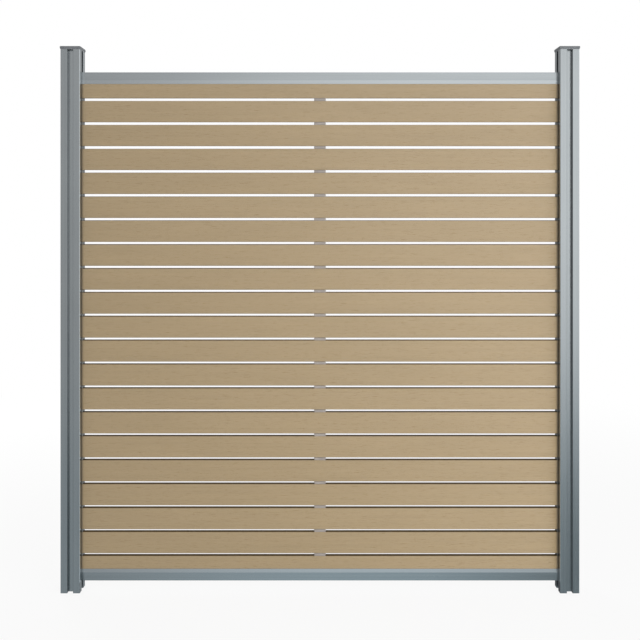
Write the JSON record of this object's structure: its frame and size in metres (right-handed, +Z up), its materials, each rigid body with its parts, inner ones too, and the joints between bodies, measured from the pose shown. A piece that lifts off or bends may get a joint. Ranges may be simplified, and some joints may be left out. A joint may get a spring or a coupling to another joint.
{
  "type": "garden privacy screen",
  "caption": "Free-standing fence element: grooved aluminium posts with caps carry a panel of hollow, sloping-edged wood-composite slats between channel rails.",
  "frame": {"origin": "on the ground, midway between the post axes, in the middle of the panel thickness", "axes": "+X to the right seen from the front, the front faces -Y, +Z up along the posts"},
  "size_m": [1.874, 0.074, 1.9715],
  "materials": {
    "post_aluminium": "satin anodised, extrusion lines along the post",
    "rail_aluminium": "satin anodised, extrusion lines along the rail",
    "cap_plastic": "grey moulded plastic",
    "slat_composite": "brushed sand-coloured wood composite with fine ribs along the slat",
    "spacer_plastic": "light grey moulded plastic",
    "block_plastic": "black moulded plastic",
    "screw_steel": "stainless steel"
  },
  "bodies": {
    "root": {"bottom_rail": "rail_aluminium", "centre_spacer_01": "spacer_plastic", "centre_spacer_02": "spacer_plastic", "centre_spacer_03": "spacer_plastic", "centre_spacer_04": "spacer_plastic", "centre_spacer_05": "spacer_plastic", "centre_spacer_06": "spacer_plastic", "centre_spacer_07": "spacer_plastic", "centre_spacer_08": "spacer_plastic", "centre_spacer_09": "spacer_plastic", "centre_spacer_10": "spacer_plastic", "centre_spacer_11": "spacer_plastic", "centre_spacer_12": "spacer_plastic", "centre_spacer_13": "spacer_plastic", "centre_spacer_14": "spacer_plastic", "centre_spacer_15": "spacer_plastic", "centre_spacer_16": "spacer_plastic", "centre_spacer_17": "spacer_plastic", "centre_spacer_18": "spacer_plastic", "centre_spacer_19": "spacer_plastic", "centre_spacer_20": "spacer_plastic", "end_spacers_left": "spacer_plastic", "end_spacers_right": "spacer_plastic", "post_cap_left": "cap_plastic", "post_cap_right": "cap_plastic", "post_left": "post_aluminium", "post_right": "post_aluminium", "rail_screws": "screw_steel", "slat_01": "slat_composite", "slat_02": "slat_composite", "slat_03": "slat_composite", "slat_04": "slat_composite", "slat_05": "slat_composite", "slat_06": "slat_composite", "slat_07": "slat_composite", "slat_08": "slat_composite", "slat_09": "slat_composite", "slat_10": "slat_composite", "slat_11": "slat_composite", "slat_12": "slat_composite", "slat_13": "slat_composite", "slat_14": "slat_composite", "slat_15": "slat_composite", "slat_16": "slat_composite", "slat_17": "slat_composite", "slat_18": "slat_composite", "slat_19": "slat_composite", "slat_20": "slat_composite", "slat_21": "slat_composite", "support_block_left": "block_plastic", "support_block_right": "block_plastic", "top_rail": "rail_aluminium"}
  },
  "joints": []
}
